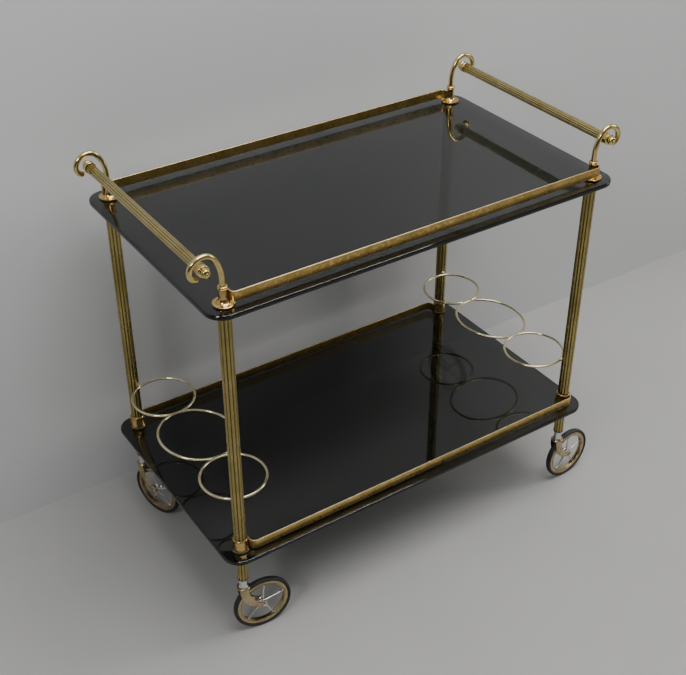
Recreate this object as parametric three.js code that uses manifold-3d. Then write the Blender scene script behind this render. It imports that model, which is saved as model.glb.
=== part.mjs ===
// Two-tier bar cart on four swivel casters. Millimetres, +Z up, long side along X,
// floor at z = 0. The group is centred on its own bounding box at the end.
import * as THREE from 'three';
import { mergeVertices } from 'three/addons/utils/BufferGeometryUtils.js';
import Module from 'manifold-3d';

const wasm = await Module();
wasm.setup();

// ---------- driving dimensions ----------
const LEG_X = 340;            // half spacing of the legs along the cart
const LEG_Y = 186.6;          // half spacing of the legs across the cart
const LOWER = 188.3;          // flange plane of the lower shelf
const UPPER = 649.5;          // flange plane of the upper shelf
const GLASS = { thick: 8, over: [32, 30], corner: 30, hole: 4, drop: 2, sink: 0.3 };
const LEG = { radius: 10.2, bore: 8.2, lobes: 10, depth: 1.3 };
const STUB = { radius: 9, bore: 7, foot: 123 };
const ROD = 3;                // tie rod radius
const FIT = 0.3;              // gap kept between neighbouring pieces
const NECK = 6.45;            // neck radius of the upper collars
const SLEEVE = 11.4;          // sleeve radius of the lower collars
const RAIL = { thick: 2.4, tall: 16.4 };
const RAIL_UP = { out: 11, z: 3.6, left: 8.3, right: 8.3, bend: 8, reach: 1 };
const RAIL_LOW = { out: 15, z: 0.8, left: 13.2, right: 10.8, bend: 11, reach: -3.5 };
const SCROLL = 4.4;           // scroll rod radius
const HANDLE = { out: 27, up: 59, radius: 7.8, lobes: 12, depth: 0.9 };
const FERRULE = 9.2;
const WIRE = 2.2;             // bottle ring wire radius
const SMALL_RING = 53.5;
const WIDE_RING = 65.5;
const RING_Z = LOWER + 94;    // height of the bottle rings
const WHEEL = { radius: 51, trail: 31.6, width: 10.4, tread: 46.5, rim: 38 };
const FORK = { inner: 7, outer: 9.4, bore: 2.8, top: 101.9 };

const CORNERS = [
  { id: 'fl', sx: -1, sy: -1, heading: -5.8, spin: 11 },
  { id: 'fr', sx: 1, sy: -1, heading: 4, spin: 16 },
  { id: 'bl', sx: -1, sy: 1, heading: -70, spin: 30 },
  { id: 'br', sx: 1, sy: 1, heading: -78, spin: 48 },
];

// ---------- finishes ----------
const finish = (color, roughness, metalness) =>
  new THREE.MeshStandardMaterial({ color, roughness, metalness });
const SATIN_BRASS = finish(0x8f7a45, 0.38, 1);
const POLISHED_BRASS = finish(0xc8a86a, 0.2, 1);
const STRIP_BRASS = finish(0xa87c3c, 0.35, 1);
const CHROME = finish(0xc4c6c8, 0.15, 1);
const SMOKED_GLASS = finish(0x2b2e30, 0.06, 0);
const RUBBER = finish(0x16161a, 0.75, 0);
const STEEL = finish(0x8a8c8e, 0.4, 1);

// ---------- small solid helpers ----------
// Turns any closed surface into one solid, facing outward.
function solid(geometry) {
  const bare = geometry.clone();
  bare.deleteAttribute('normal');
  bare.deleteAttribute('uv');
  const merged = mergeVertices(bare, 1e-4);
  const p = merged.attributes.position.array;
  const tri = [];
  const src = merged.index.array;
  for (let i = 0; i < src.length; i += 3) {
    const [a, b, c] = [src[i], src[i + 1], src[i + 2]];
    if (a !== b && b !== c && c !== a) tri.push(a, b, c);
  }
  let volume = 0;
  const corner = (i) => new THREE.Vector3(p[3 * i], p[3 * i + 1], p[3 * i + 2]);
  for (let i = 0; i < tri.length; i += 3) {
    volume += corner(tri[i]).dot(corner(tri[i + 1]).cross(corner(tri[i + 2])));
  }
  if (volume < 0) {
    for (let i = 0; i < tri.length; i += 3) [tri[i], tri[i + 1]] = [tri[i + 1], tri[i]];
  }
  const triVerts = new Uint32Array(tri);
  const vertProperties = new Float32Array(p);
  return new wasm.Manifold(new wasm.Mesh({ numProp: 3, vertProperties, triVerts }));
}

// Revolves [radius, height] pairs around the Z axis.
function turned(profile, sides) {
  const points = profile.map(([r, z]) => new THREE.Vector2(r, z));
  return solid(new THREE.LatheGeometry(points, sides).rotateX(Math.PI / 2));
}

// Pulls a flat outline (with optional holes) up from z = 0.
function pulled(outline, depth, holes = []) {
  const shape = new THREE.Shape(outline);
  shape.holes = holes.map((h) => new THREE.Path(h));
  return solid(new THREE.ExtrudeGeometry(shape, { depth, bevelEnabled: false, steps: 1 }));
}

function circle(radius, count, cx = 0, cy = 0) {
  return Array.from({ length: count }, (_, i) => {
    const a = (2 * Math.PI * i) / count;
    return new THREE.Vector2(cx + radius * Math.cos(a), cy + radius * Math.sin(a));
  });
}

// Outline of a reeded tube: rounded ribs parted by narrow grooves.
function reeded(radius, lobes, depth) {
  const per = 4;
  return Array.from({ length: lobes * per }, (_, i) => {
    const a = (2 * Math.PI * i) / (lobes * per);
    const r = radius - depth * [1, 0.25, 0, 0.25][i % per];
    return new THREE.Vector2(r * Math.cos(a), r * Math.sin(a));
  });
}

// Sweeps a round bar along a list of 3-D points.
function bentRod(points, radius, steps, sides) {
  const path = new THREE.CatmullRomCurve3(points.map((p) => new THREE.Vector3(...p)));
  const shape = new THREE.Shape(circle(radius, sides));
  return solid(new THREE.ExtrudeGeometry(shape, { steps, extrudePath: path }));
}

function ring(radius, wire, turns, sides, centre, tilt = [0, 0]) {
  return solid(new THREE.TorusGeometry(radius, wire, sides, turns))
    .rotate([tilt[0], tilt[1], 0]).translate(centre);
}

// Straight round bar between two points.
function spoke(from, to, radius, sides) {
  const a = new THREE.Vector3(...from);
  const b = new THREE.Vector3(...to);
  const bar = new THREE.CylinderGeometry(radius, radius, a.distanceTo(b), sides);
  const turn = new THREE.Quaternion().setFromUnitVectors(
    new THREE.Vector3(0, 1, 0), b.clone().sub(a).normalize());
  bar.applyQuaternion(turn);
  const mid = a.add(b).multiplyScalar(0.5);
  return solid(bar.translate(mid.x, mid.y, mid.z));
}

// Outline of a flat strip of even thickness laid along a plan path.
function stripOutline(path, thick) {
  const left = [];
  const right = [];
  path.forEach((p, i) => {
    const a = path[Math.max(0, i - 1)];
    const b = path[Math.min(path.length - 1, i + 1)];
    const n = new THREE.Vector2(a.y - b.y, b.x - a.x).normalize().multiplyScalar(thick / 2);
    left.push(p.clone().add(n));
    right.unshift(p.clone().sub(n));
  });
  return [...left, ...right];
}

const group = new THREE.Group();
group.name = 'bar_cart_on_wheels';
const rest = [];

function place(name, body, material) {
  const data = body.getMesh();
  const geometry = new THREE.BufferGeometry();
  geometry.setAttribute('position', new THREE.BufferAttribute(data.vertProperties, 3));
  geometry.setIndex(new THREE.BufferAttribute(data.triVerts, 1));
  geometry.computeVertexNormals();
  const mesh = new THREE.Mesh(geometry, material);
  mesh.name = name;
  group.add(mesh);
  rest.push(mesh);
}

// ---------- glass shelves ----------
// The glass is sunk slightly under each collar, so its open face ends at the collars.
function glassShelf(top, seatRadius) {
  const hx = LEG_X + GLASS.over[0];
  const hy = LEG_Y + GLASS.over[1];
  const r = GLASS.corner;
  const outline = [];
  [[1, 1, 0], [-1, 1, 90], [-1, -1, 180], [1, -1, 270]].forEach(([sx, sy, start]) => {
    for (let i = 0; i <= 8; i += 1) {
      const a = THREE.MathUtils.degToRad(start + (90 * i) / 8);
      outline.push(new THREE.Vector2(
        sx * (hx - r) + r * Math.cos(a), sy * (hy - r) + r * Math.sin(a)));
    }
  });
  const holes = CORNERS.map((c) => circle(GLASS.hole, 16, c.sx * LEG_X, c.sy * LEG_Y));
  const seats = CORNERS.map((c) =>
    pulled(circle(seatRadius, 16, c.sx * LEG_X, c.sy * LEG_Y), GLASS.sink + 1));
  return pulled(outline, GLASS.thick, holes)
    .subtract(wasm.Manifold.union(seats).translate([0, 0, GLASS.thick - GLASS.sink]))
    .translate([0, 0, top - GLASS.thick]);
}
place('upper_glass', glassShelf(UPPER - GLASS.drop, 17.2), SMOKED_GLASS);
place('lower_glass', glassShelf(LOWER - GLASS.drop, 15), SMOKED_GLASS);

// ---------- collars ----------
const seat = -GLASS.drop + FIT;
const topFlare = [[16.2, seat], [16.2, -0.4], [14.6, 0.6], [11, 1.8], [8.6, 3.8],
  [7.2, 6.8], [NECK + 0.05, 10], [NECK, 23.6]];
const topCollar = turned([[3.4, seat], ...topFlare, [7.4, 24.4], [7.4, 27], [6.4, 28],
  [SCROLL + FIT, 28], [SCROLL + FIT, 17.6], [3.4, 17.6], [3.4, seat]], 14);
const lowFlare = [[14.2, seat], [14.2, 0.2], [13.6, 2.6], [12.7, 6.5], [11.9, 11],
  [SLEEVE, 15.5], [SLEEVE, 19.5]];
const lowCollar = turned([[10.5, seat], ...lowFlare, [12, 20.3], [12, 22.6], [11.3, 23.2],
  [10.5, 23.2], [10.5, seat]], 16);
// The same flares swollen by the fit gap: the rails are cut to clear them.
const swollen = (flare) => turned([[0, seat], ...flare.map(([r, z]) => [r + FIT, z]),
  [0, flare.at(-1)[1]]], 16);

// ---------- corners: tubes, rods, collars, scrolls ----------
const tubeBetween = ({ radius, bore }, z0, z1) =>
  pulled(reeded(radius, LEG.lobes, LEG.depth), z1 - z0, [circle(bore, 12)])
    .translate([0, 0, z0]);
const legTube = tubeBetween(LEG, LOWER + seat, UPPER - GLASS.drop - GLASS.thick - FIT);
const legStub = tubeBetween(STUB, STUB.foot, LOWER - GLASS.drop - GLASS.thick - FIT);
const rodFoot = STUB.foot + 3.6;
const tieRod = pulled(circle(ROD, 10), UPPER + 17 - rodFoot).translate([0, 0, rodFoot]);

// Scroll centreline: distance outward from the leg, height above the flange plane.
const SCROLL_LINE = [[0, 18], [0, 32], [0.2, 42], [1.6, 52], [5, 62.5], [10.5, 72],
  [18, 78.6], [27, 80.4], [36.2, 78], [43.6, 72], [47.2, 64], [46.8, 56.6],
  [43, 51.2], [38, 48.9], [35.5, 47.8]];
const scrollAt = (c) => bentRod(SCROLL_LINE.map(([out, up]) =>
  [c.sx * (LEG_X + out), c.sy * LEG_Y, UPPER + up]), SCROLL, 28, 8);

for (const c of CORNERS) {
  const at = (body, z = 0) => body.translate([c.sx * LEG_X, c.sy * LEG_Y, z]);
  place(`leg_tube_${c.id}`, at(legTube), SATIN_BRASS);
  place(`leg_stub_${c.id}`, at(legStub), SATIN_BRASS);
  place(`tie_rod_${c.id}`, at(tieRod), STEEL);
  place(`upper_collar_${c.id}`, at(topCollar, UPPER), POLISHED_BRASS);
  place(`lower_collar_${c.id}`, at(lowCollar, LOWER), POLISHED_BRASS);
  place(`scroll_bracket_${c.id}`, scrollAt(c), POLISHED_BRASS);
}

// ---------- handle bars with turned ends ----------
const finial = turned([[0, -1], [HANDLE.radius + FIT, -1], [HANDLE.radius + FIT, -8],
  [FERRULE, -8], [FERRULE, 2.4], [8.2, 3.4], [5.6, 3.6], [6.6, 5.4], [6.9, 7.5],
  [6.2, 9.8], [4.2, 11.4], [2.6, 11.9], [2.4, 13.2], [0, 14]], 14);
const barHalf = LEG_Y - 1 - FIT;
const handleBar = pulled(reeded(HANDLE.radius, HANDLE.lobes, HANDLE.depth), 2 * barHalf)
  .translate([0, 0, -barHalf]).rotate([90, 0, 0]);
for (const [side, sx] of [['left', -1], ['right', 1]]) {
  const x = sx * (LEG_X + HANDLE.out);
  const z = UPPER + HANDLE.up;
  place(`handle_bar_${side}`, handleBar.translate([x, 0, z]), SATIN_BRASS);
  place(`handle_finial_${side}_front`,
    finial.rotate([90, 0, 0]).translate([x, -LEG_Y, z]), POLISHED_BRASS);
  place(`handle_finial_${side}_back`,
    finial.rotate([-90, 0, 0]).translate([x, LEG_Y, z]), POLISHED_BRASS);
}

// ---------- gallery rails ----------
// One strip: its left end turns in beside the left leg, its right end wraps the right leg.
function galleryRail(spec, level, flare) {
  const quarter = (cx, cy, from) => Array.from({ length: 7 }, (_, i) => {
    const a = THREE.MathUtils.degToRad(from + 15 * i);
    return new THREE.Vector2(cx + spec.bend * Math.cos(a), cy + spec.bend * Math.sin(a));
  });
  const bendY = -LEG_Y - spec.out + spec.bend;
  const path = [
    new THREE.Vector2(-LEG_X + spec.left, -LEG_Y + 1),
    ...quarter(-LEG_X + spec.left + spec.bend, bendY, 180),
    ...quarter(LEG_X + spec.right - spec.bend, bendY, 270),
    new THREE.Vector2(LEG_X + spec.right, -LEG_Y + spec.reach),
  ];
  let strip = pulled(stripOutline(path, RAIL.thick), RAIL.tall)
    .translate([0, 0, level + spec.z]);
  for (const sx of [-1, 1]) {
    strip = strip.subtract(swollen(flare).translate([sx * LEG_X, -LEG_Y, level]));
  }
  return strip;
}
const upperRail = galleryRail(RAIL_UP, UPPER, topFlare);
const lowerRail = galleryRail(RAIL_LOW, LOWER, lowFlare);
place('upper_rail_front', upperRail, STRIP_BRASS);
place('upper_rail_back', upperRail.rotate([0, 0, 180]), STRIP_BRASS);
place('lower_rail_front', lowerRail, STRIP_BRASS);
place('lower_rail_back', lowerRail.rotate([0, 0, 180]), STRIP_BRASS);

// ---------- bottle racks: three rings welded in a row at each end ----------
const RINGS = [
  { x: 313.8, y: 118.7, up: 1.2, radius: SMALL_RING, tilt: [0, 0] },
  { x: 312.2, y: -3.6, up: 0, radius: WIDE_RING, tilt: [3, 6.5] },
  { x: 313.4, y: -125.6, up: -1.4, radius: SMALL_RING, tilt: [0, 0] },
];
function bottleRack(sx) {
  const centres = RINGS.map((r) => [sx * r.x, r.y, RING_Z + r.up]);
  let rack = ring(RINGS[0].radius, WIRE, 26, 6, centres[0]);
  for (const i of [1, 2]) {
    rack = rack.add(ring(RINGS[i].radius, WIRE, 28, 6, centres[i], RINGS[i].tilt));
  }
  // weld beads where neighbouring rings meet
  for (const [i, sign] of [[0, 1], [2, -1]]) {
    const [mx, my] = [centres[1][0], centres[1][1] + sign * WIDE_RING];
    const z = (centres[i][2] + centres[1][2] + sign * 3.4) / 2;
    rack = rack.add(solid(new THREE.IcosahedronGeometry(3.8, 0))
      .translate([mx, my + sign * 1.4, z]));
  }
  // short studs that tie the outer rings to the legs
  for (const [i, sy] of [[0, 1], [2, -1]]) {
    const [cx, cy, cz] = centres[i];
    const away = new THREE.Vector2(sx * LEG_X - cx, sy * LEG_Y - cy);
    const reach = away.length();
    away.normalize();
    const on = (d) => [cx + away.x * d, cy + away.y * d, cz];
    rack = rack.add(spoke(on(SMALL_RING - 1), on(reach - LEG.radius - FIT), 2, 6));
  }
  return rack;
}
place('bottle_rack_left', bottleRack(-1), POLISHED_BRASS);
place('bottle_rack_right', bottleRack(1), POLISHED_BRASS);

// ---------- casters ----------
// Built with the pivot on the Z axis and the wheel trailing toward +X.
const pinTop = FORK.top + 14;
const socket = turned([[0, pinTop + FIT], [ROD + FIT, pinTop + FIT], [ROD + FIT, FORK.top + FIT],
  [8, FORK.top + FIT], [8.4, FORK.top + 1.2], [7.6, FORK.top + 3], [7, FORK.top + 6],
  [7, STUB.foot - 2.2], [9.2, STUB.foot - 2.2], [9.2, STUB.foot - FIT],
  [0, STUB.foot - FIT]], 14);

// Fork horn seen from the side: [trail, height, width], ending in a thin tip past the axle.
const HORN = [[-1.5, 100, 15], [-0.5, 88, 14.8], [4, 73.5, 14], [11, 63.5, 12.8],
  [20.5, 56, 11.5], [31.6, 52.3, 8.5], [37.5, 52.5, 1.6]];
function hornPlate() {
  const line = new THREE.CatmullRomCurve3(HORN.map((p) => new THREE.Vector3(...p)));
  const left = [];
  const right = [];
  for (let i = 0; i <= 12; i += 1) {
    const p = line.getPoint(i / 12);
    const d = line.getTangent(i / 12);
    const n = new THREE.Vector2(-d.y, d.x).normalize().multiplyScalar(p.z / 2);
    left.push(new THREE.Vector2(p.x + n.x, p.y + n.y));
    right.unshift(new THREE.Vector2(p.x - n.x, p.y - n.y));
  }
  const eye = pulled(circle(4.8, 12, WHEEL.trail, WHEEL.radius), FORK.outer - FORK.inner);
  return pulled([...left, ...right], FORK.outer - FORK.inner).add(eye).rotate([90, 0, 0]);
}
function fork() {
  const plate = hornPlate();
  const crown = turned([[0, FORK.top - 3.1], [11, FORK.top - 3.1], [11.3, FORK.top - 1.6],
    [10.4, FORK.top], [0, FORK.top]], 18);
  const pin = pulled(circle(ROD, 8), pinTop - FORK.top + 1).translate([0, 0, FORK.top - 1]);
  const bore = pulled(circle(FORK.bore, 10), 40).rotate([90, 0, 0])
    .translate([WHEEL.trail, 20, WHEEL.radius]);
  return crown.add(plate.translate([0, -FORK.inner, 0]))
    .add(plate.translate([0, FORK.outer, 0])).add(pin).subtract(bore);
}
const forkBody = fork();

const onAxle = (body) => body.rotate([90, 0, 0]).translate([WHEEL.trail, 0, WHEEL.radius]);
const head = FORK.outer + FIT;
const axle = onAxle(turned([[0, -head - 1.6], [2.8, -head - 1.6], [3.6, -head], [2.5, -head],
  [2.5, head], [3.6, head], [2.8, head + 1.6], [0, head + 1.6]], 10));

function wheelBody(spin) {
  const edge = WHEEL.tread - FIT;
  const rim = turned([[WHEEL.rim, -4.2], [edge, -4.2], [edge, 4.2], [WHEEL.rim, 4.2],
    [WHEEL.rim + 1.5, 0], [WHEEL.rim, -4.2]], 28);
  const side = FORK.inner - FIT - 0.1;
  const hub = turned([[FORK.bore, -side], [5.4, -side], [6.6, 2.2 - side], [6.6, side - 2.2],
    [5.4, side], [FORK.bore, side], [FORK.bore, -side]], 10);
  let body = rim.add(hub);
  for (let i = 0; i < 5; i += 1) {
    const a = THREE.MathUtils.degToRad(spin + 72 * i);
    const on = (r) => [r * Math.cos(a), r * Math.sin(a), 0];
    body = body.add(spoke(on(5.5), on(WHEEL.rim + 3), 1.3, 5));
  }
  return onAxle(body);
}
const h = WHEEL.width / 2;
const tyre = onAxle(turned([[WHEEL.tread, 0.8 - h], [WHEEL.tread + 1.7, -h],
  [WHEEL.radius - 1.2, 0.6 - h], [WHEEL.radius, -1.8], [WHEEL.radius, 1.8],
  [WHEEL.radius - 1.2, h - 0.6], [WHEEL.tread + 1.7, h], [WHEEL.tread, h - 0.8],
  [WHEEL.tread, 0.8 - h]], 36));

for (const c of CORNERS) {
  const at = (body) => body.rotate([0, 0, c.heading]).translate([c.sx * LEG_X, c.sy * LEG_Y, 0]);
  place(`caster_socket_${c.id}`, at(socket), CHROME);
  place(`caster_fork_${c.id}`, at(forkBody), POLISHED_BRASS);
  place(`caster_axle_${c.id}`, at(axle), CHROME);
  place(`wheel_${c.id}`, at(wheelBody(c.spin)), POLISHED_BRASS);
  place(`tyre_${c.id}`, at(tyre), RUBBER);
}

// ---------- centre the whole cart on its bounding box, wheels on the floor ----------
const box = new THREE.Box3().setFromObject(group);
const shift = [-(box.min.x + box.max.x) / 2, -(box.min.y + box.max.y) / 2, -box.min.z];
for (const mesh of rest) mesh.geometry.translate(...shift);

export default group;
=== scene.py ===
"""Two-tier bar cart: smoked glass shelves, reeded brass legs, scroll handles, bottle rings.

Metres, +Z up, long side along X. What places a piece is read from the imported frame; the
other numbers are a maker's sizes for one piece.
"""
import math

import bmesh
import bpy
from mathutils import Matrix, Vector


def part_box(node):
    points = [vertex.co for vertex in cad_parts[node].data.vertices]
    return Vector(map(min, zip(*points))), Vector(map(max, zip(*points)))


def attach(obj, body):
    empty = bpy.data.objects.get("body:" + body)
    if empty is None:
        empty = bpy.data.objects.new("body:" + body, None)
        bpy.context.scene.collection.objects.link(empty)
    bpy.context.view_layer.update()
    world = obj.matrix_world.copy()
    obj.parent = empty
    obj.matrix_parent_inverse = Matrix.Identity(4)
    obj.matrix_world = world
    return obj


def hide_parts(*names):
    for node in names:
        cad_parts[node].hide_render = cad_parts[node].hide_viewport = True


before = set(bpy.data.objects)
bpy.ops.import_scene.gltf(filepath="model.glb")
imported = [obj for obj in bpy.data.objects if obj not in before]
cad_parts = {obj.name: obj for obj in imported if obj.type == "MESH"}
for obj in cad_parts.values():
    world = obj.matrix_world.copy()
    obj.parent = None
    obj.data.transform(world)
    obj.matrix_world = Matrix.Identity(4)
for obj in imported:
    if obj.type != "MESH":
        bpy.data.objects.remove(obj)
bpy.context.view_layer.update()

MM = 0.001

# ---------------------------------------------------------------- sizes
CORNERS = {"fl": (-1, -1), "fr": (1, -1), "bl": (-1, 1), "br": (1, 1)}
SIDES = {"left": -1, "right": 1}
GLASS_DROP = 2.0 * MM            # glass top below the flange plane of its shelf
LEG_RADIUS, LEG_BORE = 10.2 * MM, 8.2 * MM
FOOT_RADIUS, FOOT_BORE = 9.0 * MM, 7.0 * MM
HANDLE_RADIUS, HANDLE_BORE = 7.8 * MM, 5.6 * MM
LEG_REEDS, LEG_REED_DEPTH = 10, 1.6 * MM
HANDLE_REEDS, HANDLE_REED_DEPTH = 12, 1.1 * MM
SCROLL_RADIUS, WIRE_RADIUS = 4.3 * MM, 2.2 * MM
RAIL_THICK = 2.4 * MM
UPPER_RAIL_BEND, UPPER_RAIL_REACH = 8 * MM, 1 * MM
LOWER_RAIL_BEND, LOWER_RAIL_REACH = 11 * MM, -3.5 * MM
WHEEL_RADIUS, TREAD_BED, RIM_INSIDE = 51.0, 46.2, 38.0      # mm, from the axle
FORK_INNER, FORK_OUTER = 7.0, 9.4                           # mm, from the wheel's middle
EYE_RADIUS, EYE_BORE, DRILL_REACH = 4.7, 2.75, 20           # mm
SPOKES_PER_WHEEL = 5
FIRST_SPOKE = {"fl": 11, "fr": 16, "bl": 30, "br": 48}      # degrees above the trail line
WALL_Y, ROOM_HALF, WALL_HEIGHT = 0.285, 6, 5
BOOLEAN_JOIN = 1e-7              # vertices closer than this are one after a boolean, metres


def middle(node):
    low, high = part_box(node)
    return (low + high) / 2


def top_of(node):
    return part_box(node)[1].z


def foot_of(node):
    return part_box(node)[0].z


LEG = {c: middle(f"leg_tube_{c}") for c in CORNERS}
UPPER = top_of("upper_glass") + GLASS_DROP
LOWER = top_of("lower_glass") + GLASS_DROP
MID_X = (LEG["fl"].x + LEG["fr"].x) / 2
PIVOT = {c: Vector((LEG[c].x, LEG[c].y, 0)) for c in CORNERS}


def heading(corner):
    """Angle about Z at which this caster trails, from its pivot to its axle."""
    away = middle(f"caster_axle_{corner}") - PIVOT[corner]
    return math.atan2(away.y, away.x)


# ---------------------------------------------------------------- camera, light, room
SENSOR, LENS = 36, 61.58                                    # mm
VIEWPOINT = (MID_X - 0.94646, -1.39403, 1.5155)
PITCH, ROLL, YAW = 90 - 34.551, 0.077, -33.624              # degrees


def place_camera():
    data = bpy.data.cameras.new("view")
    data.sensor_width, data.lens = SENSOR, LENS
    data.clip_start, data.clip_end = 0.05, 50
    camera = bpy.data.objects.new("view", data)
    camera.location = VIEWPOINT
    camera.rotation_euler = [math.radians(a) for a in (PITCH, ROLL, YAW)]
    bpy.context.collection.objects.link(camera)
    bpy.context.scene.camera = camera


def soft_lamp(name, place, aim, size, power, colour=(1, 1, 1)):
    data = bpy.data.lights.new(name, "AREA")
    data.shape = "RECTANGLE"
    data.size, data.size_y = size
    data.energy = power
    data.color = colour
    lamp = bpy.data.objects.new(name, data)
    lamp.location = place
    lamp.rotation_euler = (Vector(aim) - Vector(place)).to_track_quat("-Z", "Y").to_euler()
    bpy.context.collection.objects.link(lamp)


# ---------------------------------------------------------------- node helpers
class Wiring:
    """Adds nodes to one tree and feeds their sockets by name or number."""

    def __init__(self, tree):
        self.tree = tree

    def feed(self, node, key, value):
        socket = node.inputs[key]
        if isinstance(value, bpy.types.NodeSocket):
            self.tree.links.new(value, socket)
        else:
            socket.default_value = value

    def node(self, kind, settings=None, **feeds):
        made = self.tree.nodes.new(kind)
        for key, value in (settings or {}).items():
            setattr(made, key, value)
        for key, value in feeds.items():
            self.feed(made, key.replace("_", " ").strip(), value)
        return made

    def maths(self, operation, a, b=0.0, clamp=False):
        made = self.node("ShaderNodeMath", {"operation": operation, "use_clamp": clamp})
        self.feed(made, 0, a)
        self.feed(made, 1, b)
        return made.outputs[0]

    def spread(self, value, low, high, out_low=0.0, out_high=1.0):
        """Maps low..high to out_low..out_high, held at both ends."""
        made = self.node("ShaderNodeMapRange", From_Min=low, From_Max=high,
                         To_Min=out_low, To_Max=out_high)
        self.feed(made, "Value", value)
        return made.outputs[0]

    def blend(self, amount, first, second):
        made = self.node("ShaderNodeMix", {"data_type": "RGBA"})
        for key, value in ((0, amount), (6, first), (7, second)):
            self.feed(made, key, value)
        return made.outputs[2]

    def noise(self, place, scale, detail=4.0, rough=0.55):
        return self.node("ShaderNodeTexNoise", Vector=place, Scale=scale, Detail=detail,
                         Roughness=rough).outputs["Fac"]

    def out(self, end, **results):
        for key, value in results.items():
            self.tree.links.new(value, end.inputs[key.replace("_", " ")])


def light_the_room():
    world = bpy.data.worlds.new("room")
    bpy.context.scene.world = world
    world.use_nodes = True
    w = Wiring(world.node_tree)
    toward = w.node("ShaderNodeSeparateXYZ")
    w.feed(toward, 0, w.node("ShaderNodeTexCoord").outputs["Generated"])
    up = w.spread(toward.outputs["Z"], 0.15, 0.95)
    right = w.spread(toward.outputs["X"], 0.1, 0.9, 0.0, 0.35)
    air = world.node_tree.nodes["Background"]
    w.feed(air, "Color", w.blend(w.maths("ADD", up, right, clamp=True),
                                 (0.085, 0.08, 0.07, 1), (0.92, 0.95, 1.0, 1)))
    w.feed(air, "Strength", 0.5)
    soft_lamp("ceiling_panel", (0.3, -0.7, 3.0), (0, 0.1, 0.3), (2.4, 1.4), 76)
    soft_lamp("left_panel", (-2.6, -1.6, 2.6), (0, 0, 0.4), (0.7, 0.7), 28)
    soft_lamp("right_window", (3.0, -1.2, 1.9), (0, 0, 0.5), (0.7, 1.6), 25,
              (1, 0.97, 0.92))


place_camera()
light_the_room()

FLOAT, VECTOR, MATERIAL = "NodeSocketFloat", "NodeSocketVector", "NodeSocketMaterial"
WHOLE, SWITCH = "NodeSocketInt", "NodeSocketBool"


def new_group(kind, name, inputs, outputs):
    """An empty node group with named sockets: its wiring, its inputs and its end node."""
    tree = bpy.data.node_groups.new(name, kind)
    for label, socket, value in inputs:
        made = tree.interface.new_socket(label, in_out="INPUT", socket_type=socket)
        if value is not None:
            made.default_value = value
    for label, socket in outputs:
        tree.interface.new_socket(label, in_out="OUTPUT", socket_type=socket)
    start, end = tree.nodes.new("NodeGroupInput"), tree.nodes.new("NodeGroupOutput")
    return Wiring(tree), start.outputs, end


# ---------------------------------------------------------------- shared effects
def tarnish_clouds():
    """Clouded tarnish in patches, with small dark specks inside them."""
    w, take, end = new_group("ShaderNodeTree", "tarnish_clouds", [
        ("Place", VECTOR, None), ("Cloud Scale", FLOAT, 18.0), ("Speck Scale", FLOAT, 260.0),
        ("Amount", FLOAT, 0.5)], [("Tarnish", FLOAT), ("Specks", FLOAT)])
    patches = w.spread(w.noise(take["Place"], take["Cloud Scale"], 6.0, 0.62), 0.36, 0.68)
    grit = w.noise(take["Place"], take["Speck Scale"], 3.0, 0.7)
    spots = w.maths("MULTIPLY", w.spread(grit, 0.60, 0.74), patches)
    w.out(end, Tarnish=w.maths("MULTIPLY", patches, take["Amount"], clamp=True),
          Specks=w.maths("MULTIPLY", spots, take["Amount"], clamp=True))
    return w.tree


def rubbed_edges_and_crevice_shade():
    """Bright rubbed edges, and painted shade that darkens the inner corners, from how sharply
    the surface bends.
    """
    w, take, end = new_group("ShaderNodeTree", "rubbed_edges_and_crevice_shade", [
        ("Place", VECTOR, None), ("Edge Start", FLOAT, 0.52), ("Edge End", FLOAT, 0.60)],
        [("Rubbed", FLOAT), ("Crevice", FLOAT)])
    bend = w.node("ShaderNodeNewGeometry").outputs["Pointiness"]
    broken = w.spread(w.noise(take["Place"], 90.0), 0.3, 0.7, 0.35, 1.0)
    edge = w.spread(bend, take["Edge Start"], take["Edge End"])
    # The second output is painted shade, strongest where the surface bends inward.
    w.out(end, Rubbed=w.maths("MULTIPLY", edge, broken, clamp=True),
          Crevice=w.spread(bend, 0.49, 0.42))
    return w.tree


def handling_marks():
    """Fine scratches along one direction, and larger finger smears."""
    w, take, end = new_group("ShaderNodeTree", "handling_marks", [
        ("Place", VECTOR, None), ("Grain Stretch", VECTOR, (1.0, 1.0, 0.03)),
        ("Grain Scale", FLOAT, 900.0), ("Smear Scale", FLOAT, 14.0)],
        [("Scratches", FLOAT), ("Smears", FLOAT)])
    drawn = w.node("ShaderNodeVectorMath", {"operation": "MULTIPLY"})
    w.feed(drawn, 0, take["Place"])
    w.feed(drawn, 1, take["Grain Stretch"])
    smear = w.noise(take["Place"], take["Smear Scale"], 5.0, 0.7)
    w.out(end, Scratches=w.noise(drawn.outputs[0], take["Grain Scale"], 2.0, 0.6),
          Smears=w.spread(smear, 0.42, 0.66))
    return w.tree


def settled_dust():
    """Dust that settles on faces that look up."""
    w, take, end = new_group("ShaderNodeTree", "settled_dust", [
        ("Place", VECTOR, None), ("Scale", FLOAT, 55.0), ("Amount", FLOAT, 0.4)],
        [("Dust", FLOAT)])
    split = w.node("ShaderNodeSeparateXYZ")
    w.feed(split, 0, w.node("ShaderNodeNewGeometry").outputs["Normal"])
    upward = w.spread(split.outputs["Z"], 0.35, 0.95)
    drift = w.spread(w.noise(take["Place"], take["Scale"], 7.0, 0.7), 0.42, 0.72)
    lying = w.maths("MULTIPLY", upward, drift)
    w.out(end, Dust=w.maths("MULTIPLY", lying, take["Amount"], clamp=True))
    return w.tree


TARNISH, EDGE_RUB_AND_SHADE, HANDLING, DUST = tarnish_clouds(), rubbed_edges_and_crevice_shade(), handling_marks(), settled_dust()


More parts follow.
